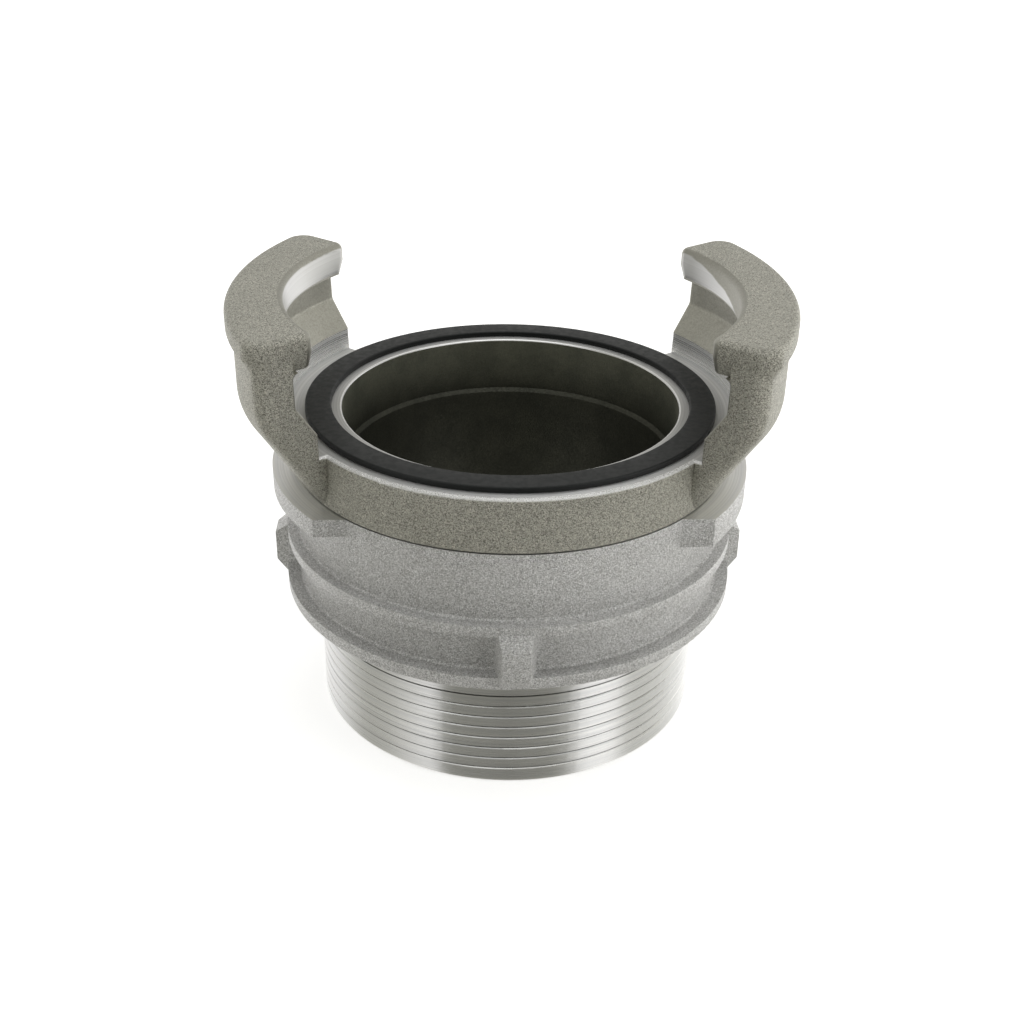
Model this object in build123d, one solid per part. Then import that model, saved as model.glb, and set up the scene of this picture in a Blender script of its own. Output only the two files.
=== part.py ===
from build123d import *
from math import asin, cos, degrees, hypot, radians, sin, tan
import os

# Half coupling for a 65 mm fire hose: a body casting with two claws, a face seal,
# and a locking ring with two cam wings, held on the neck by a snap ring.
# Millimetres. Z is the bore axis, Z = 0 is the end of the threaded tail, and the claws lie on X.

# Threaded tail and waterway
THREAD_MAJOR_D = 75.184      # crests of a 2 1/2 inch parallel pipe thread
THREAD_LENGTH = 22.25
THREAD_LEAD_IN = 0.9         # chamfer at the tail's end
TAIL_WALL = 6.45             # thread crests to waterway
MOUTH_STEP = 0.7             # the waterway opens by this at the mouth
MOUTH_DEPTH = 10.75
MOUTH_EDGE = 0.4

# Neck, and the fits of the locking ring on it
NECK_STEP = 0.5              # the neck stands proud of the thread, so the ring passes over the tail
RUNNING_FIT = 0.05           # radial, ring on neck
AXIAL_PLAY = 0.3
RING_STANDOFF = 3.15         # end of thread to the ring's lower face

# Flange and face seal
FLANGE_THICKNESS = 10.2
FLANGE_RIM = 1.6             # metal outside the seal's foot
FLANGE_EDGE = 0.7
MOUTH_LAND = 1.95            # metal inside the seal
SEAL_WIDTH = 4.9
SEAL_GROOVE_DEPTH = 4.9
SEAL_PROUD = 1.05
SEAL_FOOT_REACH = 0.7        # the foot is caught under the groove's outer wall
SEAL_FOOT_HEIGHT = 1.6
SEAL_EDGE = 0.35

# Locking ring
RING_HEIGHT = 25.75
RING_WALL = 2.8
RIM_HEIGHT = 2.65
RIM_REACH = 2.85
BAND_HEIGHT = 2.05
BAND_FOOT = 10.65            # ring's lower face to the underside of the middle band
BAND_REACH = 2.35
RING_FILLET = 0.6
LUG_COUNT = 4
LUG_REACH = 4.9
LUG_WIDTH = 4.9
LUG_BASE_WIDTH = 7.4
LUG_TOP = 11.2               # ring's lower face to the top of a lug
LUG_SHOULDER = 1.9           # height of the slope from a lug's face up to the band
LUG_FOOT = 0.8               # ring's lower face to the foot of a lug
LUG_SLOPE = 2.4              # height of the slope from a lug's face down to the rim
RING_TURN = 1.8              # degrees past the claws at which the open ring stands

# Cam wings of the locking ring
WING_REACH = 4.4
WING_HALF_LENGTH = 28.3      # the wings' ends are flat, at this distance from the XZ plane
WING_THIN = 3.3              # leading end
WING_THICK = 5.75            # trailing end
WING_SECTIONS = 7

# Snap ring
SNAP_THICKNESS = 1.4
SNAP_SEAT = 0.1              # groove floor above the thread crests
SNAP_REACH = 1.5
SNAP_CLEARANCE = 0.35
SNAP_RECESS = 0.6            # ring's lower face to the snap ring
SNAP_GAP = 9.0

# Claws
CLAW_HALF_ANGLE = 37.2       # degrees, at the top
CLAW_DRAFT = 2.6             # degrees, of each end
CLAW_ROOT_STEP = 1.15        # flange's edge to the claw's inner wall
CLAW_ROOT_HEIGHT = 4.3       # turned height of the inner wall
CLAW_FLARE_HEIGHT = 5.65     # cast height over which the wall opens to the recess
CLAW_WALL = 4.55
CLAW_BAND_PROUD = 1.2
CLAW_BAND_HEIGHT = 5.8
CLAW_BAND_SLOPE = 2.3        # height of the slope up to the band
CLAW_CHEST = 14.65           # height of the slope from the flange's underside to the claw's side
LIP_CLEARANCE = 0.4          # turned lip to the mate's flange
LIP_PASS = 0.15              # over the thin end of the mate's wing
LIP_THICKNESS = 6.45
LIP_ROUND = 1.5
WING_CLEARANCE = 0.5         # recess to the mate's wings
CLAW_ROUND = 1.2
CLAW_CHEST_ROUND = 10.0
CLAW_CORNER_ROUND = 3.0      # outer corners of the ends
CLAW_END_ROUND = 0.6         # inner edges of the ends
CLAW_BOW = 13.6              # the outer arcs are struck from this far past the bore axis
LIP_NOSE_ROUND = 2.0

# Working allowances, which leave no mark on the parts
CLEAR = 0.01                 # tells an edge on a surface from one beside it
OVERRUN = 5.0                # blanks run this far past the cut that trims them
OVERRUN_ANGLE = 8.0          # degrees
SLOPE_OVERRUN = 0.25         # share by which the band's slope runs on into the wall

# Radii, from the thread outwards
thread_r = THREAD_MAJOR_D / 2
bore_r = thread_r - TAIL_WALL
mouth_r = bore_r + MOUTH_STEP
neck_r = thread_r + NECK_STEP
ring_bore_r = neck_r + RUNNING_FIT
seal_inner_r = mouth_r + MOUTH_LAND
seal_outer_r = seal_inner_r + SEAL_WIDTH
seal_foot_r = seal_outer_r + SEAL_FOOT_REACH
flange_r = max(seal_foot_r + FLANGE_RIM, ring_bore_r + RING_WALL)
wing_r = flange_r + WING_REACH
snap_inner_r = thread_r + SNAP_SEAT
snap_outer_r = neck_r + SNAP_REACH
snap_recess_r = snap_outer_r + SNAP_CLEARANCE
lip_r = flange_r + LIP_CLEARANCE
claw_root_r = flange_r + CLAW_ROOT_STEP
recess_r = wing_r + WING_CLEARANCE
claw_r = recess_r + CLAW_WALL
claw_band_r = claw_r + CLAW_BAND_PROUD

# Heights, from the tail's end upwards
ring_z = THREAD_LENGTH + RING_STANDOFF
snap_z = ring_z + SNAP_RECESS
ring_seat_z = snap_z + SNAP_THICKNESS + AXIAL_PLAY
ring_top_z = ring_z + RING_HEIGHT
flange_z = ring_top_z + AXIAL_PLAY
face_z = flange_z + FLANGE_THICKNESS
seal_top_z = face_z + SEAL_PROUD
groove_z = face_z - SEAL_GROOVE_DEPTH
# The mate stands mirrored in the seal's face, so its wing's thin end sets the lip's underside.
lip_z = 2 * seal_top_z - (ring_top_z - WING_THIN) + LIP_PASS
claw_top_z = lip_z + LIP_THICKNESS


def section(points):
    """A face in the XZ plane from (radius, height) points."""
    return make_face(Polyline(*[(r, 0, z) for r, z in points], close=True))


def corners(face, points):
    """The face's vertices at the given (radius, height) points."""
    return [face.vertices().sort_by_distance((r, 0, z))[0] for r, z in points]


def turned(points, rounds=()):
    """A ring turned about Z from a section, with (radius, [points]) corner rounds."""
    face = section(points)
    for radius, places in rounds:
        face = fillet(corners(face, places), radius)
    return revolve(face, Axis.Z, 360)


def end_plane(side):
    """The drafted plane of one claw end; side is 1 for the end towards +Y."""
    angle = radians(side * CLAW_HALF_ANGLE)
    radial = Vector(cos(angle), sin(angle), 0)
    outward = Vector(-sin(angle), cos(angle), 0) * side
    lean = Vector(0, 0, -1) + outward * tan(radians(CLAW_DRAFT))
    normal = radial.cross(lean)
    if normal.dot(outward) < 0:
        normal = -normal
    return Plane(origin=radial * claw_r + Vector(0, 0, claw_top_z), x_dir=radial, z_dir=normal)


def column(radius, low, high, origin_x=0):
    """An upright cylinder between two heights."""
    return Pos(origin_x, 0, low) * Cylinder(radius, high - low, align=(Align.CENTER, Align.CENTER, Align.MIN))


def claw_blank(radius, low, high):
    """The +X claw's plan between its two ends, bowed outside to the given radius on the X axis."""
    disc = column(radius + CLAW_BOW, low, high, -CLAW_BOW)
    half = Pos(0, 0, low) * Box(2 * radius, 4 * radius, high - low,
                                align=(Align.MIN, Align.CENTER, Align.MIN))
    blank = disc & half
    for side in (1, -1):
        blank = split(blank, end_plane(side), keep=Keep.BOTTOM)
    return blank


def distance(point):
    """A point's distance from the bore axis."""
    return hypot(point.X, point.Y)


def rising(solid, radius, span):
    """The edges outside a radius that climb by more than the span, along a claw's two ends."""
    found = []
    for edge in solid.edges():
        start, end = edge.position_at(0), edge.position_at(1)
        near_end = abs(edge.center().Y) > edge.center().X * tan(radians(CLAW_HALF_ANGLE - OVERRUN_ANGLE))
        if abs(start.Z - end.Z) > span and distance(edge.center()) > radius and near_end:
            found.append(edge)
    return found


def level(solid, height, radius):
    """The edges at a height, outside a radius."""
    found = []
    for edge in solid.edges():
        points = [edge.position_at(t) for t in (0, 0.5, 1)]
        if all(abs(p.Z - height) < CLEAR for p in points) and distance(points[1]) > radius:
            found.append(edge)
    return found


def claw_wall(low, high):
    """The claw's wall on its flared chest, solid to the axis, with rounded outer corners."""
    far_r = claw_r + CLAW_CHEST
    far_z = flange_z + CLAW_CHEST * (far_r - flange_r) / (claw_r - flange_r)
    chest = turned([(0, low), (flange_r, low), (far_r, far_z), (far_r, far_z + high), (0, far_z + high)])
    wall = claw_blank(claw_r, low, high) & chest
    fold_z = flange_z + CLAW_CHEST
    fold_place = Vector(claw_r, 0, fold_z)
    fold = [edge for edge in wall.edges() if (edge.center() - fold_place).length < CLEAR]
    wall = fillet(fold, CLAW_CHEST_ROUND)
    return fillet(rising(wall, flange_r + CLAW_ROUND, CLAW_ROUND), CLAW_CORNER_ROUND)


def claw_head(low, high):
    """The band and the lip at the claw's top, with a rounded nose at each end."""
    into_wall = 1 + SLOPE_OVERRUN
    low = low - CLAW_BAND_SLOPE * SLOPE_OVERRUN
    head = claw_blank(claw_band_r, low, high) - column(lip_r, low - OVERRUN, high + OVERRUN)
    head = fillet(rising(head, claw_root_r, CLAW_BAND_SLOPE), CLAW_CORNER_ROUND + CLAW_BAND_PROUD / 2)
    underside = head.faces().sort_by(Axis.Z)[0]
    head = chamfer(level(head, low, lip_r + CLEAR), CLAW_BAND_PROUD * into_wall, CLAW_BAND_SLOPE * into_wall,
                   reference=underside)
    nose = []
    for edge in head.edges():
        start, end = edge.position_at(0), edge.position_at(1)
        on_lip = all(abs(distance(p) - lip_r) < CLEAR for p in (start, end))
        if on_lip and abs(start.Z - end.Z) > CLAW_ROUND:
            nose.append(edge)
    head = fillet(nose, LIP_NOSE_ROUND)
    return fillet(level(head, high, lip_r + CLEAR), CLAW_ROUND)


def claw():
    """One claw on +X: a bowed wall and head, hollowed by turning and by the cast recess."""
    flare_z = face_z + CLAW_ROOT_HEIGHT
    recess_z = flare_z + CLAW_FLARE_HEIGHT
    band_z = claw_top_z - CLAW_BAND_HEIGHT
    inside_r = (seal_foot_r + flange_r) / 2
    wall = claw_wall(flange_z, (lip_z + claw_top_z) / 2) - column(recess_r, lip_z, claw_top_z)
    hook = wall + claw_head(band_z, claw_top_z)
    recess_low, recess_top, lip_low = (recess_r, recess_z), (recess_r, lip_z), (lip_r, lip_z)
    hollow = section([
        (0, flange_z - OVERRUN), (inside_r, flange_z - OVERRUN), (inside_r, face_z), (claw_root_r, face_z),
        (claw_root_r, flare_z), recess_low, recess_top, lip_low, (lip_r, lip_z + 2 * LIP_ROUND),
        (0, lip_z + 2 * LIP_ROUND)])
    hollow = fillet(corners(hollow, [recess_low, recess_top]), CLAW_ROUND)
    hollow = fillet(corners(hollow, [lip_low]), LIP_ROUND)
    hook = hook - revolve(hollow, Axis.Z, 360)
    return fillet(inner_ends(hook, lip_z - CLAW_ROUND), CLAW_END_ROUND)


def inner_ends(hook, high):
    """The edges where a claw's flat ends meet its inner wall, up to a height."""
    found = []
    for face in hook.faces():
        if face.geom_type == GeomType.PLANE and abs(face.normal_at().Y) > abs(face.normal_at().Z):
            for edge in face.edges():
                points = [edge.position_at(t) for t in (0, 0.5, 1)]
                inside = all(distance(p) < recess_r + CLEAR for p in points)
                if inside and all(face_z - CLEAR < p.Z < high + CLEAR for p in points):
                    found.append(edge)
    return found


def coupling_body():
    """Tail, neck, flange with its seal groove, and two claws, in one casting."""
    shell = turned([
        (bore_r, 0), (thread_r - THREAD_LEAD_IN, 0), (thread_r, THREAD_LEAD_IN),
        (thread_r, THREAD_LENGTH), (neck_r, THREAD_LENGTH + NECK_STEP), (neck_r, snap_z),
        (snap_inner_r, snap_z), (snap_inner_r, snap_z + SNAP_THICKNESS),
        (neck_r, snap_z + SNAP_THICKNESS), (neck_r, flange_z), (flange_r, flange_z),
        (flange_r, face_z), (seal_outer_r, face_z), (seal_outer_r, groove_z + SEAL_FOOT_HEIGHT),
        (seal_foot_r, groove_z + SEAL_FOOT_HEIGHT), (seal_foot_r, groove_z),
        (seal_inner_r, groove_z), (seal_inner_r, face_z), (mouth_r, face_z),
        (mouth_r, face_z - MOUTH_DEPTH), (bore_r, face_z - MOUTH_DEPTH - MOUTH_STEP),
    ], [(FLANGE_EDGE, [(flange_r, face_z)]), (MOUTH_EDGE, [(mouth_r, face_z)])])
    hook = claw()
    return shell + hook + hook.rotate(Axis.Z, 180)


def face_seal():
    """The rubber ring, proud of the flange, with a foot caught in the groove."""
    foot_top = groove_z + SEAL_FOOT_HEIGHT
    return turned([
        (seal_inner_r, groove_z), (seal_foot_r, groove_z), (seal_foot_r, foot_top),
        (seal_outer_r, foot_top), (seal_outer_r, seal_top_z), (seal_inner_r, seal_top_z),
    ], [(SEAL_EDGE, [(seal_outer_r, seal_top_z), (seal_inner_r, seal_top_z)])])


def wings():
    """Two cam wings, flat above, each with a helical underside from a thin leading end."""
    inside_r = (ring_bore_r + flange_r) / 2
    reach = degrees(asin(min(1, WING_HALF_LENGTH / inside_r)))
    sections = []
    for i in range(WING_SECTIONS):
        turn = reach * (2 * i / (WING_SECTIONS - 1) - 1)
        thickness = WING_THICK + (WING_THIN - WING_THICK) * i / (WING_SECTIONS - 1)
        low = ring_top_z - thickness
        high = ring_top_z + OVERRUN
        face = section([(inside_r, low), (wing_r + OVERRUN, low), (wing_r + OVERRUN, high),
                        (inside_r, high)])
        sections.append(face.rotate(Axis.Z, 180 + turn))
    ramp = loft(sections)
    disc = extrude(Plane.XY.offset(ring_z) * Circle(wing_r), RING_HEIGHT)
    slab = Pos(0, 0, ring_z) * Box(2 * (wing_r + OVERRUN), 2 * WING_HALF_LENGTH, RING_HEIGHT,
                                   align=(Align.CENTER, Align.CENTER, Align.MIN))
    blank = ramp & disc & slab
    return blank + blank.rotate(Axis.Z, 180)


def lug():
    """One spanner lug on +X, between the middle band and the rim, with drafted sides."""
    foot_z = ring_z + LUG_FOOT
    top_z = ring_z + LUG_TOP
    inside_r = (snap_recess_r + flange_r) / 2
    face_r = flange_r + LUG_REACH
    side = section([(inside_r, foot_z), (flange_r + RIM_REACH, foot_z),
                    (face_r, foot_z + LUG_SLOPE), (face_r, top_z - LUG_SHOULDER),
                    (flange_r + BAND_REACH, top_z), (inside_r, top_z)])
    blank = extrude(side, LUG_BASE_WIDTH / 2, both=True)
    flank = (LUG_BASE_WIDTH - LUG_WIDTH) / 2
    plan = make_face(Polyline((inside_r, -LUG_BASE_WIDTH / 2, 0), (flange_r, -LUG_BASE_WIDTH / 2, 0),
                              (face_r, flank - LUG_BASE_WIDTH / 2, 0),
                              (face_r, LUG_BASE_WIDTH / 2 - flank, 0),
                              (flange_r, LUG_BASE_WIDTH / 2, 0), (inside_r, LUG_BASE_WIDTH / 2, 0),
                              close=True))
    return blank & extrude(plan, claw_top_z)


def locking_ring():
    """The ring that turns on the neck: two bands, four lugs and the cam wings."""
    foot_z = ring_z + RIM_HEIGHT
    band_z = ring_z + BAND_FOOT
    rim_r = flange_r + RIM_REACH
    band_r = flange_r + BAND_REACH
    lower = [(flange_r, foot_z), (flange_r, band_z)]
    upper = [(flange_r, band_z + BAND_HEIGHT)]
    hoop = turned([
        (snap_recess_r, ring_z), (rim_r, ring_z), (rim_r, foot_z), *lower, (band_r, band_z),
        (band_r, band_z + BAND_HEIGHT), *upper, (flange_r, ring_top_z),
        (ring_bore_r, ring_top_z), (ring_bore_r, ring_seat_z), (snap_recess_r, ring_seat_z),
    ], [(RING_FILLET, lower + upper), (RING_FILLET, [(rim_r, ring_z)])])
    knobs = [lug().rotate(Axis.Z, i * 360 / LUG_COUNT) for i in range(LUG_COUNT)]
    ring = hoop + knobs + wings()
    return ring.rotate(Axis.Z, RING_TURN)


def retaining_ring():
    """The open snap ring in the neck's groove, with its gap at the back."""
    hoop = turned([(snap_inner_r, snap_z), (snap_outer_r, snap_z),
                   (snap_outer_r, snap_z + SNAP_THICKNESS), (snap_inner_r, snap_z + SNAP_THICKNESS)])
    gap = Pos(0, snap_outer_r, snap_z) * Box(SNAP_GAP, snap_outer_r, SNAP_THICKNESS + OVERRUN)
    return hoop - gap


def main():
    os.makedirs("parts", exist_ok=True)
    nodes = {"coupling_body": coupling_body(), "face_seal": face_seal(),
             "locking_ring": locking_ring(), "retaining_ring": retaining_ring()}
    for name, solid in nodes.items():
        print(name, solid.is_valid, round(solid.volume), len(solid.solids()))
        export_step(solid, "parts/%s.step" % name)


main()
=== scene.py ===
"""Finishes a half coupling for a 65 mm fire hose: its casting, thread, locking ring and face seal."""

import math
from collections import namedtuple

import bpy
from bpy.props import FloatProperty, FloatVectorProperty, IntProperty, PointerProperty
from mathutils import Matrix, Vector


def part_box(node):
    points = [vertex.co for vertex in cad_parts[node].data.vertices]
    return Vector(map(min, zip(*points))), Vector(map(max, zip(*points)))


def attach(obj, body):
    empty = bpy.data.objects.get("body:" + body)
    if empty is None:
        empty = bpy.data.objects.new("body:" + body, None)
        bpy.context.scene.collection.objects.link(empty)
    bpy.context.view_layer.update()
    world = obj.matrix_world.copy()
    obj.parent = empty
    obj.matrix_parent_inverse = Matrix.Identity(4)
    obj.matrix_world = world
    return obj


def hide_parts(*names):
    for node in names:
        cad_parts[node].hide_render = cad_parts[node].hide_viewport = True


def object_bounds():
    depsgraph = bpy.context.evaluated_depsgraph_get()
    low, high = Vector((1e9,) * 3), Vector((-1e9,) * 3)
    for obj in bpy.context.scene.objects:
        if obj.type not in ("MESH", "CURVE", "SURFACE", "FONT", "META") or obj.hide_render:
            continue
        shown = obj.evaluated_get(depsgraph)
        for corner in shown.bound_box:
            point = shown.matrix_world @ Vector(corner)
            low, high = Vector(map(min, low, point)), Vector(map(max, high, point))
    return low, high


bl_info = {
    "name": "Fire hose coupling finishes",
    "version": (1, 0, 0),
    "blender": (4, 5, 0),
    "location": "3D View > Sidebar > Coupling",
    "description": "Cuts the thread, dresses each piece of the coupling and sets up the studio",
    "category": "Object",
}

MM = 0.001

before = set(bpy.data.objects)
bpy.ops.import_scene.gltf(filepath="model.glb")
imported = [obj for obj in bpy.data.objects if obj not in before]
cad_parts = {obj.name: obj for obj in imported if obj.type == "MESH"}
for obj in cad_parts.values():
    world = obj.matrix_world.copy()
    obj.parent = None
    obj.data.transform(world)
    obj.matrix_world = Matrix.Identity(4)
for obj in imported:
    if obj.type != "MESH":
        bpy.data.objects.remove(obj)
cad_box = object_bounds()


def radius_between(node, low, high, pick=max):
    """The largest or smallest distance from the bore axis among a node's corners between two heights."""
    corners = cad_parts[node].data.vertices
    return pick(math.hypot(v.co.x, v.co.y) for v in corners if low <= v.co.z <= high)


# Heights and radii of the frame, in metres
ring_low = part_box("locking_ring")[0].z
ring_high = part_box("locking_ring")[1].z
seal_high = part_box("face_seal")[1].z
body_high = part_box("coupling_body")[1].z
flange_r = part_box("coupling_body")[1].y
thread_r = radius_between("coupling_body", 0.0, 0.8 * ring_low)
bore_r = radius_between("coupling_body", 0.0, 0.8 * ring_low, min)
seal_inner_r = radius_between("face_seal", 0.0, seal_high, min)
face_z = max(v.co.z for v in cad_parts["coupling_body"].data.vertices
             if math.hypot(v.co.x, v.co.y) < seal_inner_r)

# Where the lathe has cut the body casting, in metres
TAIL_LEAD_IN = 1.2 * MM      # plain length at the tail's end
TAIL_RUN_OUT = 1.5 * MM      # plain length under the locking ring
GROOVE_WALL_DEPTH = 6 * MM   # the seal groove's walls, below the sealing face
ROOT_HEIGHT = 4.3 * MM       # turned foot of a claw's inner wall, above the sealing face
ROOT_REACH = 1.3 * MM        # that foot's distance from the flange's edge
LIP_FOOT = 10 * MM           # the claws' lips begin this far above the sealing face
LIP_REACH = 2 * MM           # and reach this far past the flange's edge
LIP_HEIGHT = 6 * MM          # down from the claws' tops

SMOOTH_ANGLE = math.radians(32)   # edges flatter than this are shaded smooth


class ThreadSettings(bpy.types.PropertyGroup):
    """The pipe thread cut on the tail."""

    pitch: FloatProperty(
        name="Pitch", description="Rise of the thread in one turn",
        default=2.309 * MM, unit="LENGTH", precision=5)
    depth: FloatProperty(
        name="Depth", description="Depth of the groove below the crests",
        default=0.6 * MM, unit="LENGTH", precision=5)
    width: FloatProperty(
        name="Width", description="Width of the groove between its walls",
        default=0.3 * MM, unit="LENGTH", precision=5)
    edge: FloatProperty(
        name="Edge", description="Chamfer on the groove's lower edge",
        default=0.17 * MM, unit="LENGTH", precision=5)
    first: FloatProperty(
        name="First groove", description="Height at which the groove passes the front for the first time",
        default=3.63 * MM, unit="LENGTH", precision=5)
    turns: IntProperty(
        name="Turns", description="Whole turns of the groove", default=8, min=1)
    steps: IntProperty(
        name="Steps", description="Straight runs in one turn", default=120, min=24)
    lead_in: FloatProperty(
        name="Lead-in", description="Share of a turn in which the groove deepens at the tail's end",
        default=0.25, min=0.01)
    run_out: FloatProperty(
        name="Run-out", description="Share of a turn in which the groove fades at its upper end",
        default=0.5, min=0.01)


class FinishSettings(bpy.types.PropertyGroup):
    """Colours of the finishes, and the softening of the ring's edges."""

    cast: FloatVectorProperty(
        name="Cast aluminium", description="Body casting as it left the sand",
        subtype="COLOR", size=3, default=(0.41, 0.403, 0.357), min=0, max=1)
    turned: FloatVectorProperty(
        name="Turned aluminium", description="Faces cut on the lathe",
        subtype="COLOR", size=3, default=(0.85, 0.85, 0.835), min=0, max=1)
    faced: FloatVectorProperty(
        name="Faced aluminium", description="The bright sealing face and mouth edge",
        subtype="COLOR", size=3, default=(0.95, 0.95, 0.94), min=0, max=1)
    ring: FloatVectorProperty(
        name="Ring casting", description="The finer casting of the locking ring",
        subtype="COLOR", size=3, default=(0.69, 0.682, 0.655), min=0, max=1)
    # The bore's dark colour is painted shade, standing in for the shade inside the waterway
    bore: FloatVectorProperty(
        name="Bore", description="The dark cast waterway",
        subtype="COLOR", size=3, default=(0.155, 0.157, 0.132), min=0, max=1)
    rubber: FloatVectorProperty(
        name="Rubber", description="The face seal",
        subtype="COLOR", size=3, default=(0.012, 0.0135, 0.0135), min=0, max=1)
    steel: FloatVectorProperty(
        name="Spring steel", description="The snap ring",
        subtype="COLOR", size=3, default=(0.55, 0.55, 0.56), min=0, max=1)
    ring_edge: FloatProperty(
        name="Ring edges", description="Width of the bevel on the locking ring's edges",
        default=0.3 * MM, unit="LENGTH", precision=5)


class StudioSettings(bpy.types.PropertyGroup):
    """Camera, floor and lamp."""

    lens: FloatProperty(
        name="Focal length", description="Camera lens, in millimetres", default=49.08, min=10)
    distance: FloatProperty(
        name="Distance", description="Camera to the point it looks at",
        default=0.27828, unit="LENGTH", precision=4)
    aim: FloatProperty(
        name="Aim height", description="Height on the bore axis that the camera looks at",
        default=0.03417, unit="LENGTH", precision=4)
    elevation: FloatProperty(
        name="Elevation", description="Camera's angle above the horizon",
        default=0.498978, subtype="ANGLE")
    swing: FloatProperty(
        name="Swing", description="Camera's turn about the bore axis from the front",
        default=math.radians(-0.4), subtype="ANGLE")
    roll: FloatProperty(
        name="Roll", description="Camera's tilt about its own line of sight",
        default=0.015814, subtype="ANGLE")
    shift_x: FloatProperty(
        name="Shift X", description="Sideways lens shift", default=0.0034)
    shift_y: FloatProperty(
        name="Shift Y", description="Upward lens shift", default=0.01491)
    floor: FloatVectorProperty(
        name="Floor", description="Colour of the floor", subtype="COLOR", size=3,
        default=(0.9, 0.9, 0.9), min=0, max=1)
    floor_size: FloatProperty(
        name="Floor size", description="Side of the square floor", default=8.0, unit="LENGTH")
    lamp_azimuth: FloatProperty(
        name="Lamp azimuth", description="Where the lamp stands, from the front round to the right",
        default=math.radians(150), subtype="ANGLE")
    lamp_elevation: FloatProperty(
        name="Lamp elevation", description="The lamp's angle above the horizon",
        default=math.radians(72), subtype="ANGLE")
    lamp_distance: FloatProperty(
        name="Lamp distance", description="Lamp to the middle of the coupling",
        default=1.0, unit="LENGTH")
    lamp_size: FloatProperty(
        name="Lamp size", description="Side of the square lamp", default=0.9, unit="LENGTH")
    lamp_power: FloatProperty(
        name="Lamp power", description="Power of the lamp, in watts", default=1.6, min=0)


# Helpers for meshes

def select_only(piece):
    """Leaves one object selected and active."""
    bpy.ops.object.select_all(action="DESELECT")
    piece.select_set(True)
    bpy.context.view_layer.objects.active = piece


def merged_copy(node, name):
    """A copy of a CAD node's mesh as one skin, its loose triangles joined."""
    piece = bpy.data.objects.new(name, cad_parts[node].data.copy())
    bpy.context.scene.collection.objects.link(piece)
    piece.data.materials.clear()
    select_only(piece)
    if piece.data.has_custom_normals:
        bpy.ops.mesh.customdata_custom_splitnormals_clear()
    bpy.ops.object.mode_set(mode="EDIT")
    bpy.ops.mesh.select_all(action="SELECT")
    bpy.ops.mesh.remove_doubles(threshold=0.002 * MM)
    bpy.ops.mesh.dissolve_limited(angle_limit=math.radians(0.2))
    bpy.ops.mesh.normals_make_consistent(inside=False)
    bpy.ops.object.mode_set(mode="OBJECT")
    return piece


def apply(piece, kind, **settings):
    """Adds a modifier with its settings and applies it."""
    select_only(piece)
    modifier = piece.modifiers.new(kind.title(), kind)
    for name, value in settings.items():
        setattr(modifier, name, value)
    bpy.ops.object.modifier_apply(modifier=modifier.name)


def smooth(piece):
    """Shades a piece smooth, except across its sharp edges."""
    select_only(piece)
    bpy.ops.object.shade_smooth_by_angle(angle=SMOOTH_ANGLE)


def thread_cutter(thread):
    """A helical bar with the groove's section, its lower edge chamfered, which fades out at both ends."""
    outer_r = thread_r + thread.depth
    floor_r = thread_r - thread.depth
    chamfer_r = thread_r - thread.edge
    # The screw starts on +X, three quarters of a turn before it passes the front
    start_z = thread.first - 0.75 * thread.pitch
    high_z = start_z + thread.width / 2
    low_z = start_z - thread.width / 2
    section = [(outer_r, high_z), (floor_r, high_z), (floor_r, low_z), (chamfer_r, low_z),
               (outer_r, low_z - (outer_r - chamfer_r))]
    bpy.ops.object.select_all(action="DESELECT")
    bpy.ops.mesh.primitive_circle_add(vertices=len(section))
    cutter = bpy.context.object
    cutter.name = "thread_cutter"
    for vertex, (radius, height) in zip(cutter.data.vertices, section):
        vertex.co = Vector((radius, 0, height))
    apply(cutter, "SCREW", angle=2 * math.pi, screw_offset=thread.pitch, iterations=thread.turns,
          steps=thread.steps, render_steps=thread.steps, use_merge_vertices=False)
    bpy.ops.object.mode_set(mode="EDIT")
    bpy.ops.mesh.select_all(action="SELECT")
    bpy.ops.mesh.remove_doubles(threshold=0.001 * MM)
    bpy.ops.mesh.select_all(action="DESELECT")
    bpy.ops.mesh.select_non_manifold()
    bpy.ops.mesh.fill_holes(sides=len(section))
    bpy.ops.mesh.select_all(action="SELECT")
    bpy.ops.mesh.normals_make_consistent(inside=False)
    bpy.ops.object.mode_set(mode="OBJECT")
    clear_of_tail = 1.05 * thread.depth
    for vertex in cutter.data.vertices:
        turn = math.atan2(vertex.co.y, vertex.co.x) / (2 * math.pi)
        whole = round((vertex.co.z - start_z) / thread.pitch - turn)
        run = whole + turn
        fade = min(1.0, max(0.0, run / thread.lead_in), max(0.0, (thread.turns - run) / thread.run_out))
        radius = math.hypot(vertex.co.x, vertex.co.y)
        lifted = (radius + clear_of_tail * (1 - fade)) / radius
        vertex.co.x *= lifted
        vertex.co.y *= lifted
    return cutter


# Helpers for materials

def put(tree, kind, inputs=None, **settings):
    """A node with its settings; inputs maps socket names or numbers to values or other nodes' outputs."""
    made = tree.nodes.new(kind)
    for name, value in settings.items():
        setattr(made, name, value)
    for key, value in (inputs or {}).items():
        socket = made.inputs[key]
        if isinstance(value, bpy.types.NodeSocket):
            tree.links.new(value, socket)
        elif socket.type == "RGBA" and len(value) == 3:
            socket.default_value = (*value, 1)
        else:
            socket.default_value = value
    return made


def calculate(tree, operation, first, second=0.0, third=0.0, clamp=False):
    """The output of a Math node."""
    return put(tree, "ShaderNodeMath", {0: first, 1: second, 2: third},
               operation=operation, use_clamp=clamp).outputs[0]


def ramp(tree, value, low, high, to_low=0.0, to_high=1.0):
    """A value eased from one range to another."""
    return put(tree, "ShaderNodeMapRange",
               {"Value": value, "From Min": low, "From Max": high, "To Min": to_low, "To Max": to_high},
               interpolation_type="SMOOTHSTEP").outputs["Result"]


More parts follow.
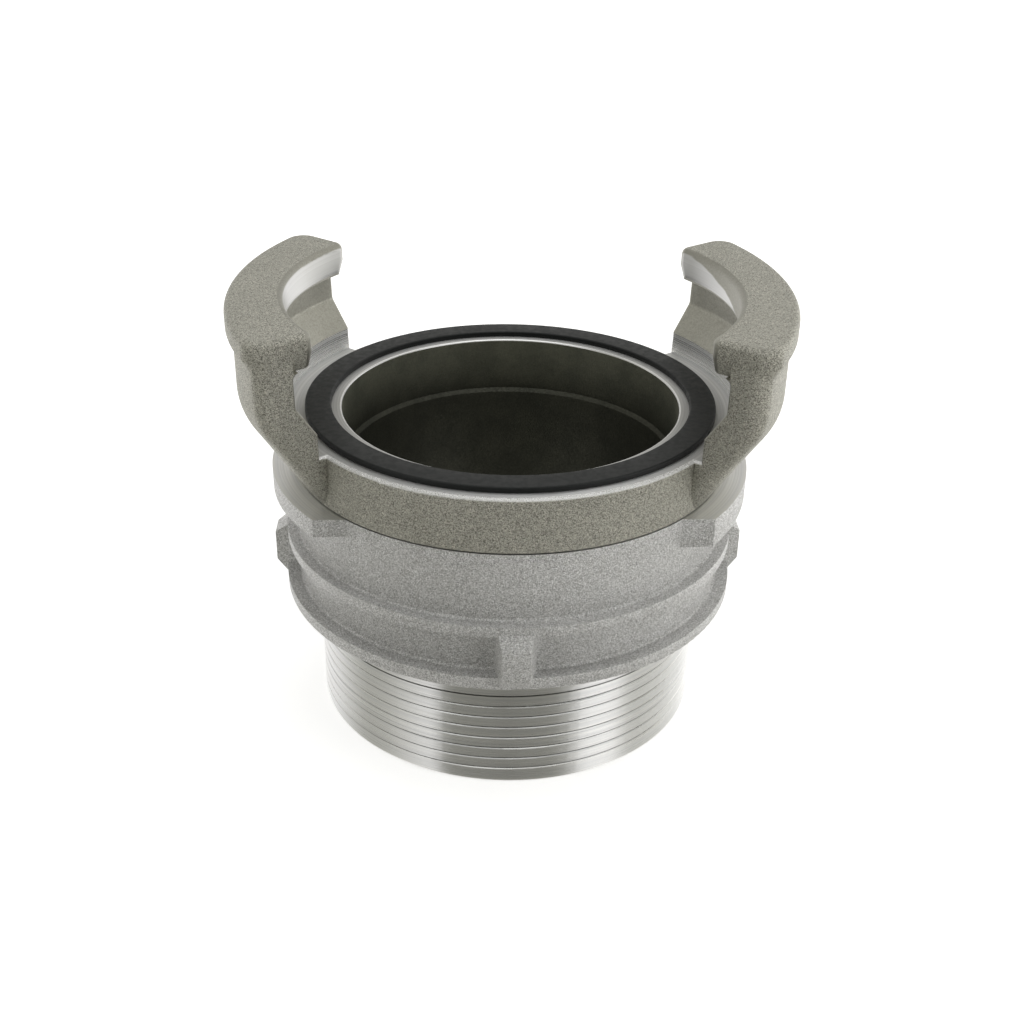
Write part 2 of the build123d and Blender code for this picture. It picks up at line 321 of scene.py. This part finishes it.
def blend(tree, factor, first, second, mode="MIX"):
    """Two colours mixed by a factor."""
    made = put(tree, "ShaderNodeMix", {"Factor": factor}, data_type="RGBA", blend_type=mode)
    colours = [s for s in made.inputs if s.type == "RGBA"]
    for socket, value in zip(colours, (first, second)):
        if isinstance(value, bpy.types.NodeSocket):
            tree.links.new(value, socket)
        else:
            socket.default_value = (*value, 1)
    return [s for s in made.outputs if s.type == "RGBA"][0]


def toned(colour, share):
    """A colour made darker or lighter by a share, and kept within 1."""
    return tuple(min(1.0, part * share) for part in colour)


def product(tree, first, *others):
    """Several values multiplied together."""
    for other in others:
        first = calculate(tree, "MULTIPLY", first, other)
    return first


def group(name, inputs, outputs):
    """A new shader node group with its sockets: its tree and its two end nodes."""
    tree = bpy.data.node_groups.new(name, "ShaderNodeTree")
    for title, kind, value in inputs:
        socket = tree.interface.new_socket(title, in_out="INPUT", socket_type=kind)
        if value is not None:
            socket.default_value = value
    for title, kind in outputs:
        tree.interface.new_socket(title, in_out="OUTPUT", socket_type=kind)
    start = tree.nodes.new("NodeGroupInput")
    end = tree.nodes.new("NodeGroupOutput")
    return tree, start, end


def cast_grain():
    """Sand-cast skin: fine grains and pits, facets that glint one by one, and broad swells."""
    if "Cast grain" in bpy.data.node_groups:
        return bpy.data.node_groups["Cast grain"]
    tree, start, end = group(
        "Cast grain",
        [("Place", "NodeSocketVector", None), ("Grains per metre", "NodeSocketFloat", 1500.0),
         ("Roughness", "NodeSocketFloat", 0.6)],
        [("Height", "NodeSocketFloat"), ("Shade", "NodeSocketFloat"), ("Swell", "NodeSocketFloat")])
    place, count = start.outputs["Place"], start.outputs["Grains per metre"]
    fine = put(tree, "ShaderNodeTexNoise",
               {"Vector": place, "Scale": count, "Detail": 2.0, "Roughness": start.outputs["Roughness"]})
    pits = put(tree, "ShaderNodeTexNoise",
               {"Vector": place, "Scale": product(tree, count, 0.45), "Detail": 1.0})
    swell = put(tree, "ShaderNodeTexNoise",
                {"Vector": place, "Scale": product(tree, count, 0.03), "Detail": 2.0})
    facets = put(tree, "ShaderNodeTexVoronoi", {"Vector": place, "Scale": count}).outputs["Color"]
    facet = put(tree, "ShaderNodeSeparateColor", {0: facets}).outputs[0]
    grains = calculate(tree, "ADD", product(tree, fine.outputs["Fac"], 0.8),
                       product(tree, pits.outputs["Fac"], 0.2))
    height = calculate(tree, "ADD", grains, product(tree, facet, 0.12))
    shade = calculate(tree, "ADD", product(tree, ramp(tree, grains, 0.36, 0.64), 0.35),
                      product(tree, facet, 0.65))
    tree.links.new(height, end.inputs["Height"])
    tree.links.new(shade, end.inputs["Shade"])
    tree.links.new(swell.outputs["Fac"], end.inputs["Swell"])
    return tree


def lathe_lines():
    """Fine lines left by the tool, along one coordinate."""
    if "Lathe lines" in bpy.data.node_groups:
        return bpy.data.node_groups["Lathe lines"]
    tree, start, end = group(
        "Lathe lines",
        [("Along", "NodeSocketFloat", 0.0), ("Lines per metre", "NodeSocketFloat", 4000.0)],
        [("Height", "NodeSocketFloat"), ("Shade", "NodeSocketFloat"), ("Streaks", "NodeSocketFloat")])
    place = product(tree, start.outputs["Along"], start.outputs["Lines per metre"])
    fine = put(tree, "ShaderNodeTexNoise", {"W": place, "Scale": 1.0, "Detail": 3.0, "Roughness": 0.7},
               noise_dimensions="1D")
    broad = put(tree, "ShaderNodeTexNoise", {"W": place, "Scale": 0.35, "Detail": 1.0},
                noise_dimensions="1D")
    height = calculate(tree, "ADD", product(tree, fine.outputs["Fac"], 0.6),
                       product(tree, broad.outputs["Fac"], 0.4))
    tree.links.new(height, end.inputs["Height"])
    tree.links.new(ramp(tree, fine.outputs["Fac"], 0.25, 0.75), end.inputs["Shade"])
    tree.links.new(ramp(tree, broad.outputs["Fac"], 0.3, 0.7), end.inputs["Streaks"])
    return tree


def use_group(tree, made, **inputs):
    """A group placed in a tree, with its inputs set by name, underscores standing for blanks."""
    placed = tree.nodes.new("ShaderNodeGroup")
    placed.node_tree = made
    for name, value in inputs.items():
        socket = placed.inputs[name.replace("_", " ")]
        if isinstance(value, bpy.types.NodeSocket):
            tree.links.new(value, socket)
        else:
            socket.default_value = value
    return placed.outputs


Skin = namedtuple("Skin", "material tree shader place radius height")


def new_skin(name, metallic, **plain):
    """A material with its tree and shader, and the surface's place, distance from the axis and height."""
    material = bpy.data.materials.new(name)
    material.use_nodes = True
    tree = material.node_tree
    shader = tree.nodes["Principled BSDF"]
    shader.inputs["Metallic"].default_value = metallic
    for key, value in plain.items():
        shader.inputs[key.replace("_", " ")].default_value = value
    place = put(tree, "ShaderNodeTexCoord").outputs["Object"]
    parts = put(tree, "ShaderNodeSeparateXYZ", {0: place}).outputs
    squares = calculate(tree, "ADD", product(tree, parts["X"], parts["X"]),
                        product(tree, parts["Y"], parts["Y"]))
    return Skin(material, tree, shader, place, calculate(tree, "SQRT", squares), parts["Z"])


def finished(skin, tone, rough, normal):
    """Joins a skin's colour, roughness and normal to its shader, and gives back the material."""
    skin.tree.links.new(tone, skin.shader.inputs["Base Color"])
    skin.tree.links.new(rough, skin.shader.inputs["Roughness"])
    skin.tree.links.new(normal, skin.shader.inputs["Normal"])
    return skin.material


def bump(tree, height, strength, distance, normal=None):
    """The normal of a bumped surface."""
    inputs = {"Height": height, "Strength": strength, "Distance": distance}
    if normal is not None:
        inputs["Normal"] = normal
    return put(tree, "ShaderNodeBump", inputs).outputs["Normal"]


def facing_up(skin):
    """How far the surface faces up, from -1 to 1."""
    normal = put(skin.tree, "ShaderNodeNewGeometry").outputs["Normal"]
    return put(skin.tree, "ShaderNodeSeparateXYZ", {0: normal}).outputs["Z"]


def facing_out(skin):
    """How far the surface faces away from the bore axis, from -1 to 1."""
    normal = put(skin.tree, "ShaderNodeNewGeometry").outputs["Normal"]
    level = put(skin.tree, "ShaderNodeVectorMath", {0: skin.place, 1: (1, 1, 0)}, operation="MULTIPLY")
    along = put(skin.tree, "ShaderNodeVectorMath", {0: normal, 1: level.outputs["Vector"]},
                operation="DOT_PRODUCT")
    return calculate(skin.tree, "DIVIDE", along.outputs["Value"], skin.radius)


def stretch_highlights(skin):
    """Stretches a skin's highlights across the lathe's lines."""
    around = put(skin.tree, "ShaderNodeTangent", direction_type="RADIAL", axis="Z")
    skin.tree.links.new(around.outputs["Tangent"], skin.shader.inputs["Tangent"])


def cast_material(name, colour, grains, depth, contrast, roughness, rubbed=None):
    """Sand-cast aluminium; a colour for rubbed metal brightens the edge round the sealing face."""
    skin = new_skin(name, metallic=1.0)
    tree = skin.tree
    grain = use_group(tree, cast_grain(), Place=skin.place, Grains_per_metre=grains)
    swells = blend(tree, grain["Swell"], (0.94, 0.94, 0.935), (1.06, 1.06, 1.06))
    tone = blend(tree, grain["Shade"], toned(colour, 1 - contrast), toned(colour, 1 + contrast))
    tone = blend(tree, 1.0, tone, swells, "MULTIPLY")
    rough = ramp(tree, grain["Shade"], 0, 1, roughness + 0.08, roughness - 0.08)
    if rubbed is not None:
        near = ramp(tree, skin.height, face_z - 1.2 * MM, face_z - 0.5 * MM)
        below = ramp(tree, skin.height, face_z + 0.3 * MM, face_z + 0.1 * MM)
        worn = product(tree, near, below, ramp(tree, facing_up(skin), 0.15, 0.6))
        tone = blend(tree, worn, tone, blend(tree, grain["Shade"], toned(rubbed, 0.8), rubbed))
        rough = calculate(tree, "SUBTRACT", rough, product(tree, worn, 0.2))
    return finished(skin, tone, rough, bump(tree, grain["Height"], 1.0, depth))


def turned_material(name, colour, lines, depth, roughness, along="height", anisotropic=0.0):
    """Aluminium cut on the lathe, its lines along the height, the radius or, on both, their sum."""
    skin = new_skin(name, metallic=1.0, Anisotropic=anisotropic, Anisotropic_Rotation=0.25)
    tree = skin.tree
    way = {"height": skin.height, "radius": skin.radius,
           "both": calculate(tree, "ADD", skin.height, skin.radius)}[along]
    scored = use_group(tree, lathe_lines(), Along=way, Lines_per_metre=lines)
    streaks = blend(tree, scored["Streaks"], (0.9, 0.905, 0.92), (1, 1, 1))
    tone = blend(tree, scored["Shade"], toned(colour, 0.88), colour)
    tone = blend(tree, 1.0, tone, streaks, "MULTIPLY")
    rough = ramp(tree, scored["Shade"], 0, 1, roughness * 1.2, roughness * 0.8)
    if anisotropic:
        stretch_highlights(skin)
    return finished(skin, tone, rough, bump(tree, scored["Height"], 1.0, depth))


def lip_material(turned, cast):
    """Lips that the lathe cut clean on one claw, and on the other only below a sloping border."""
    skin = new_skin("Turned lips", metallic=1.0, Anisotropic=0.8, Anisotropic_Rotation=0.25)
    tree = skin.tree
    scored = use_group(tree, lathe_lines(), Along=skin.height, Lines_per_metre=3000.0)
    grain = use_group(tree, cast_grain(), Place=skin.place, Grains_per_metre=4700.0)
    parts = put(tree, "ShaderNodeSeparateXYZ", {0: skin.place}).outputs
    wobble = product(tree, grain["Swell"], 1.2 * MM)
    border = calculate(tree, "ADD", product(tree, parts["Y"], 0.22), wobble)
    over_lip = calculate(tree, "SUBTRACT", skin.height, body_high - 6.3 * MM)
    missed = ramp(tree, calculate(tree, "SUBTRACT", over_lip, border), -0.15 * MM, 0.35 * MM)
    missed = product(tree, missed, calculate(tree, "GREATER_THAN", parts["X"], 0.0))
    raw = calculate(tree, "MAXIMUM", missed, ramp(tree, facing_out(skin), -0.97, -0.88))
    bright = blend(tree, scored["Shade"], toned(turned, 0.9), turned)
    dull = blend(tree, grain["Shade"], toned(cast, 0.85), toned(cast, 1.1))
    cut = bump(tree, scored["Height"], 1.0, 0.004 * MM)
    stretch_highlights(skin)
    return finished(skin, blend(tree, raw, bright, dull), ramp(tree, raw, 0, 1, 0.33, 0.55),
                    bump(tree, grain["Height"], raw, 0.05 * MM, cut))


def bore_material(colour):
    """The waterway's cast skin, mottled; its dark colour, darker still with depth and on up-facing faces,
    is painted shade.
    """
    skin = new_skin("Bore casting with painted shade", metallic=1.0)
    tree = skin.tree
    grain = use_group(tree, cast_grain(), Place=skin.place, Grains_per_metre=3200.0)
    # Painted shade: the bore gets darker the deeper it goes, and lighter towards the mouth
    painted_depth_shade = ramp(tree, skin.height, face_z - 13 * MM, face_z - 1 * MM)
    stain = put(tree, "ShaderNodeTexNoise",
                {"Vector": skin.place, "Scale": 170.0, "Detail": 4.0, "Roughness": 0.65})
    stained = ramp(tree, stain.outputs["Fac"], 0.35, 0.65)
    stains = blend(tree, stained, (0.87, 0.88, 0.86), (1.1, 1.1, 1.06))
    grains = blend(tree, grain["Shade"], (0.88, 0.88, 0.88), (1.1, 1.1, 1.1))
    tone = blend(tree, painted_depth_shade, toned(colour, 0.7), toned(colour, 1.9))
    # Painted shade: faces that look up, such as the bore's ledge, are darkened
    tone = blend(tree, ramp(tree, facing_up(skin), 0.5, 0.9), tone, toned(colour, 0.15))
    tone = blend(tree, 1.0, tone, stains, "MULTIPLY")
    tone = blend(tree, 1.0, tone, grains, "MULTIPLY")
    return finished(skin, tone, ramp(tree, grain["Shade"], 0, 1, 0.6, 0.48),
                    bump(tree, grain["Height"], 1.0, 0.04 * MM))


def rubber_material(colour):
    """Moulded rubber, faintly sheened."""
    skin = new_skin("Seal rubber", metallic=0.0, Specular_IOR_Level=0.27)
    tree = skin.tree
    noise = put(tree, "ShaderNodeTexNoise", {"Vector": skin.place, "Scale": 900.0, "Detail": 3.0})
    mottle = noise.outputs["Fac"]
    return finished(skin, blend(tree, mottle, toned(colour, 0.8), toned(colour, 1.2)),
                    ramp(tree, mottle, 0.3, 0.7, 0.4, 0.55), bump(tree, mottle, 0.4, 0.02 * MM))


# Pieces

# The body casting's finishes, in the order of its materials
# SHADED_GROOVE is the thread groove's root and downward wall, painted darker as shade
TAIL, SHADED_GROOVE, FACE, LAND, ARRIS, BORE, LIP, INNER, CAST = range(9)


def casting_zone(centre, normal):
    """Which finish a face of the casting has, from its middle and its normal."""
    radius = math.hypot(centre.x, centre.y)
    outward = (normal.x * centre.x + normal.y * centre.y) / radius
    if centre.z < ring_low and radius > bore_r + 0.5 * MM:
        threaded = TAIL_LEAD_IN < centre.z < ring_low - TAIL_RUN_OUT
        if radius < thread_r - 0.02 * MM and threaded:
            # Painted shade: the groove's root and downward wall are darkened, and its upward wall keeps
            # the bright turned colour
            return ARRIS if 0.4 < normal.z < 0.9 else SHADED_GROOVE
        return TAIL
    if radius < seal_inner_r and centre.z < face_z + MM:
        if normal.z < 0.3 or centre.z < face_z - MM:
            return BORE
        return LAND if normal.z > 0.98 else ARRIS
    if radius < flange_r + ROOT_REACH and -GROOVE_WALL_DEPTH < centre.z - face_z < ROOT_HEIGHT:
        flat = normal.z > 0.995 and centre.z > face_z - 0.1 * MM
        return FACE if flat or outward < -0.3 else CAST
    if centre.z > face_z + LIP_FOOT and radius < flange_r + LIP_REACH and outward < -0.2:
        return LIP
    if face_z + ROOT_HEIGHT < centre.z < body_high - LIP_HEIGHT and outward < -0.3:
        return INNER
    return CAST


class COUPLING_OT_casting(bpy.types.Operator):
    """Cuts the thread on the body casting and gives it its cast and turned finishes"""

    bl_idname = "coupling.casting"
    bl_label = "Body casting"

    def execute(self, context):
        thread, finish = context.scene.coupling_thread, context.scene.coupling_finish
        piece = merged_copy("coupling_body", "body_casting")
        cutter = thread_cutter(thread)
        apply(piece, "BOOLEAN", object=cutter, operation="DIFFERENCE", solver="EXACT")
        bpy.data.objects.remove(cutter)
        materials = {
            TAIL: turned_material("Turned tail", finish.turned, lines=4000, depth=0.004 * MM,
                                  roughness=0.33, along="height", anisotropic=1.0),
            # Half the turned colour, as painted shade in the thread groove
            SHADED_GROOVE: turned_material("Thread groove, painted shade", toned(finish.turned, 0.5), lines=4000,
                                    depth=0.004 * MM, roughness=0.4, along="height", anisotropic=1.0),
            FACE: turned_material("Faced aluminium", finish.faced, lines=2500, depth=0.012 * MM,
                                  roughness=0.28, along="both", anisotropic=0.9),
            LAND: turned_material("Mouth land", toned(finish.turned, 0.72), lines=2500,
                                  depth=0.008 * MM, roughness=0.42, along="both", anisotropic=0.6),
            ARRIS: turned_material("Bright edges", finish.turned, lines=4000, depth=0.004 * MM,
                                   roughness=0.3, along="both", anisotropic=0.5),
            BORE: bore_material(finish.bore),
            LIP: lip_material(toned(finish.turned, 0.62), finish.cast),
            INNER: cast_material("Inner claws", finish.cast, grains=3500, depth=0.03 * MM,
                                 contrast=0.08, roughness=0.5),
            CAST: cast_material("Body casting", finish.cast, grains=7000, depth=0.2 * MM,
                                contrast=0.75, roughness=0.5, rubbed=finish.faced),
        }
        for zone in sorted(materials):
            piece.data.materials.append(materials[zone])
        for face in piece.data.polygons:
            face.material_index = casting_zone(face.center, face.normal)
        smooth(piece)
        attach(piece, "body")
        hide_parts("coupling_body")
        return {"FINISHED"}


class COUPLING_OT_locking_ring(bpy.types.Operator):
    """Softens the locking ring's edges and gives it its fine cast finish"""

    bl_idname = "coupling.locking_ring"
    bl_label = "Locking ring"

    def execute(self, context):
        finish = context.scene.coupling_finish
        piece = merged_copy("locking_ring", "ring_casting")
        apply(piece, "BEVEL", width=finish.ring_edge, segments=2, limit_method="ANGLE",
              angle_limit=math.radians(35))
        piece.data.materials.append(
            cast_material("Ring casting", finish.ring, grains=7400, depth=0.19 * MM, contrast=0.7,
                          roughness=0.5))
        piece.data.materials.append(
            turned_material("Ring top", finish.turned, lines=2500, depth=0.01 * MM, roughness=0.36,
                            along="both", anisotropic=0.8))
        for face in piece.data.polygons:
            face.material_index = int(face.normal.z > 0.9 and face.center.z > ring_high - 0.1 * MM)
        smooth(piece)
        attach(piece, "ring")
        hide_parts("locking_ring")
        return {"FINISHED"}


class COUPLING_OT_face_seal(bpy.types.Operator):
    """Gives the face seal its rubber finish"""

    bl_idname = "coupling.face_seal"
    bl_label = "Face seal"

    def execute(self, context):
        piece = merged_copy("face_seal", "rubber_seal")
        piece.data.materials.append(rubber_material(context.scene.coupling_finish.rubber))
        smooth(piece)
        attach(piece, "body")
        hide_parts("face_seal")
        return {"FINISHED"}


class COUPLING_OT_snap_ring(bpy.types.Operator):
    """Gives the snap ring its bright steel finish"""

    bl_idname = "coupling.snap_ring"
    bl_label = "Snap ring"

    def execute(self, context):
        piece = merged_copy("retaining_ring", "snap_ring")
        piece.data.materials.append(
            turned_material("Spring steel", context.scene.coupling_finish.steel, lines=4000,
                            depth=0.01 * MM, roughness=0.35, along="radius"))
        smooth(piece)
        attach(piece, "body")
        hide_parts("retaining_ring")
        return {"FINISHED"}


# Studio

# Brightness of the walls against the azimuth from the front, in degrees, right positive
WALLS = [(-180, 1.35), (-150, 1.3), (-120, 1.02), (-101, 0.6), (-88, 0.42), (-72, 0.63), (-42, 1.12),
         (-37, 0.24), (0, 0.16), (41, 0.25), (47, 1.15), (68, 1.42), (76, 0.5), (86, 0.4), (104, 0.56),
         (124, 0.8), (142, 1.5), (152, 1.35), (180, 1.35)]

# Patches laid over the walls in turn: a colour, and for each part of the direction the two values
# between which the patch comes in, from none to full
PATCHES = [
    # Upper back wall
    ((0.62, 0.61, 0.58), [("Y", 0.2, 0.6), ("Z", -0.05, 0.25)]),
    # Straight below
    ((0.6, 0.59, 0.56), [("Z", -0.68, -0.85)]),
    # Lit part of the right wall
    ((1.5, 1.49, 1.45), [("X", 0.4, 0.7), ("Z", -0.4, -0.15), ("Z", 0.45, 0.15)]),
    # Roof
    ((0.4, 0.4, 0.39), [("Z", 0.65, 0.9)]),
    # Round patch overhead
    ((1.15, 1.15, 1.13), [("Z", 0.92, 0.96)]),
    # Strip over the front
    ((1.1, 1.1, 1.08), [("Z", 0.7, 0.76), ("Z", 0.9, 0.84), ("Y", -0.2, -0.3)]),
]


def wall_colour(level):
    """A wall's colour at a brightness: the darker, the warmer."""
    return level, 0.99 * level, (0.82 + 0.16 * min(1.0, level)) * level, 1


def studio_world():
    """White to the camera; to the object, walls lit unevenly all round."""
    world = bpy.data.worlds.new("Studio")
    bpy.context.scene.world = world
    world.use_nodes = True
    tree = world.node_tree
    tree.nodes.clear()
    direction = put(tree, "ShaderNodeTexCoord").outputs["Generated"]
    parts = put(tree, "ShaderNodeSeparateXYZ", {0: direction}).outputs
    azimuth = calculate(tree, "ARCTAN2", parts["X"], product(tree, parts["Y"], -1.0))
    around = put(tree, "ShaderNodeMapRange",
                 {"Value": azimuth, "From Min": -math.pi, "From Max": math.pi})
    walls = put(tree, "ShaderNodeValToRGB", {"Fac": around.outputs["Result"]})
    stops = walls.color_ramp.elements
    for degrees, level in WALLS[1:-1]:
        stops.new(degrees / 360 + 0.5)
    for stop, (degrees, level) in zip(stops, WALLS):
        stop.position = degrees / 360 + 0.5
        stop.color = wall_colour(level)
    colour = walls.outputs["Color"]
    for patch, sides in PATCHES:
        inside = product(tree, *[ramp(tree, parts[side], low, high) for side, low, high in sides])
        colour = blend(tree, inside, colour, patch)
    light = put(tree, "ShaderNodeBackground", {"Color": colour, "Strength": 1.0})
    white = put(tree, "ShaderNodeBackground", {"Color": (1, 1, 1), "Strength": 1.0})
    seen = put(tree, "ShaderNodeLightPath").outputs["Is Camera Ray"]
    mixed = put(tree, "ShaderNodeMixShader", {0: seen, 1: light.outputs[0], 2: white.outputs[0]})
    put(tree, "ShaderNodeOutputWorld", {"Surface": mixed.outputs[0]})


def softbox(name, studio):
    """A square lamp that faces the middle of the coupling."""
    data = bpy.data.lights.new(name, "AREA")
    data.shape = "RECTANGLE"
    data.size = studio.lamp_size
    data.size_y = studio.lamp_size
    data.energy = studio.lamp_power
    lamp = bpy.data.objects.new(name, data)
    bpy.context.scene.collection.objects.link(lamp)
    middle = (cad_box[0] + cad_box[1]) / 2
    level = math.cos(studio.lamp_elevation)
    away = Vector((level * math.sin(studio.lamp_azimuth), -level * math.cos(studio.lamp_azimuth),
                   math.sin(studio.lamp_elevation)))
    lamp.matrix_world = (Matrix.Translation(middle + away * studio.lamp_distance)
                         @ away.to_track_quat("Z", "Y").to_matrix().to_4x4())


def floor_material(colour):
    """Pale floor: white to the camera, with the object's soft shadow."""
    material = bpy.data.materials.new("Floor")
    material.use_nodes = True
    tree = material.node_tree
    tree.nodes.clear()
    matt = put(tree, "ShaderNodeBsdfDiffuse", {"Color": tuple(colour)})
    glow = put(tree, "ShaderNodeEmission", {"Color": (1, 1, 1), "Strength": 0.55})   # lifts it to white
    nothing = put(tree, "ShaderNodeEmission", {"Color": (0, 0, 0), "Strength": 0.0})
    seen = put(tree, "ShaderNodeLightPath").outputs["Is Camera Ray"]
    lift = put(tree, "ShaderNodeMixShader", {0: seen, 1: nothing.outputs[0], 2: glow.outputs[0]})
    total = put(tree, "ShaderNodeAddShader", {0: matt.outputs[0], 1: lift.outputs[0]})
    put(tree, "ShaderNodeOutputMaterial", {"Surface": total.outputs[0]})
    return material


def studio_camera(studio):
    """The camera in front, looking down at the bore axis."""
    data = bpy.data.cameras.new("camera")
    data.lens = studio.lens
    data.shift_x = studio.shift_x
    data.shift_y = studio.shift_y
    data.clip_start = 10 * MM
    camera = bpy.data.objects.new("camera", data)
    bpy.context.scene.collection.objects.link(camera)
    aimed = (Matrix.Translation((0, 0, studio.aim)) @ Matrix.Rotation(studio.swing, 4, "Z")
             @ Matrix.Rotation(math.pi / 2 - studio.elevation, 4, "X"))
    camera.matrix_world = (aimed @ Matrix.Translation((0, 0, studio.distance))
                           @ Matrix.Rotation(studio.roll, 4, "Z"))
    bpy.context.scene.camera = camera


class COUPLING_OT_studio(bpy.types.Operator):
    """Sets up the floor, the world, the lamp and the camera"""

    bl_idname = "coupling.studio"
    bl_label = "Studio"

    def execute(self, context):
        studio = context.scene.coupling_studio
        bpy.ops.object.select_all(action="DESELECT")
        bpy.ops.mesh.primitive_plane_add(size=studio.floor_size, location=(0, 0, cad_box[0].z))
        floor = bpy.context.object
        floor.name = "floor"
        floor.data.materials.append(floor_material(studio.floor))
        # Metal sees past the floor to the lower part of the walls, which light the object from below
        floor.visible_glossy = False
        floor.visible_shadow = False
        studio_world()
        softbox("top_softbox", studio)
        studio_camera(studio)
        context.scene.view_settings.view_transform = "Standard"
        return {"FINISHED"}


PIECES = [COUPLING_OT_casting, COUPLING_OT_locking_ring, COUPLING_OT_face_seal, COUPLING_OT_snap_ring,
          COUPLING_OT_studio]


class COUPLING_PT_panel(bpy.types.Panel):
    """Lists the coupling's pieces and the studio"""

    bl_idname = "COUPLING_PT_panel"
    bl_label = "Coupling"
    bl_space_type = "VIEW_3D"
    bl_region_type = "UI"
    bl_category = "Coupling"

    def draw(self, context):
        for operator in PIECES:
            self.layout.operator(operator.bl_idname)


GROUPS = {"coupling_thread": ThreadSettings, "coupling_finish": FinishSettings,
          "coupling_studio": StudioSettings}
CLASSES = [*GROUPS.values(), *PIECES, COUPLING_PT_panel]


def register():
    """Registers the classes and gives the scene its settings."""
    for made in CLASSES:
        bpy.utils.register_class(made)
    for name, made in GROUPS.items():
        setattr(bpy.types.Scene, name, PointerProperty(type=made))


def unregister():
    """Takes the settings and the classes away again."""
    for name in GROUPS:
        delattr(bpy.types.Scene, name)
    for made in reversed(CLASSES):
        bpy.utils.unregister_class(made)


def main():
    """Makes every piece in order."""
    register()
    bpy.ops.coupling.casting()
    bpy.ops.coupling.locking_ring()
    bpy.ops.coupling.face_seal()
    bpy.ops.coupling.snap_ring()
    bpy.ops.coupling.studio()


if __name__ == "__main__":
    main()
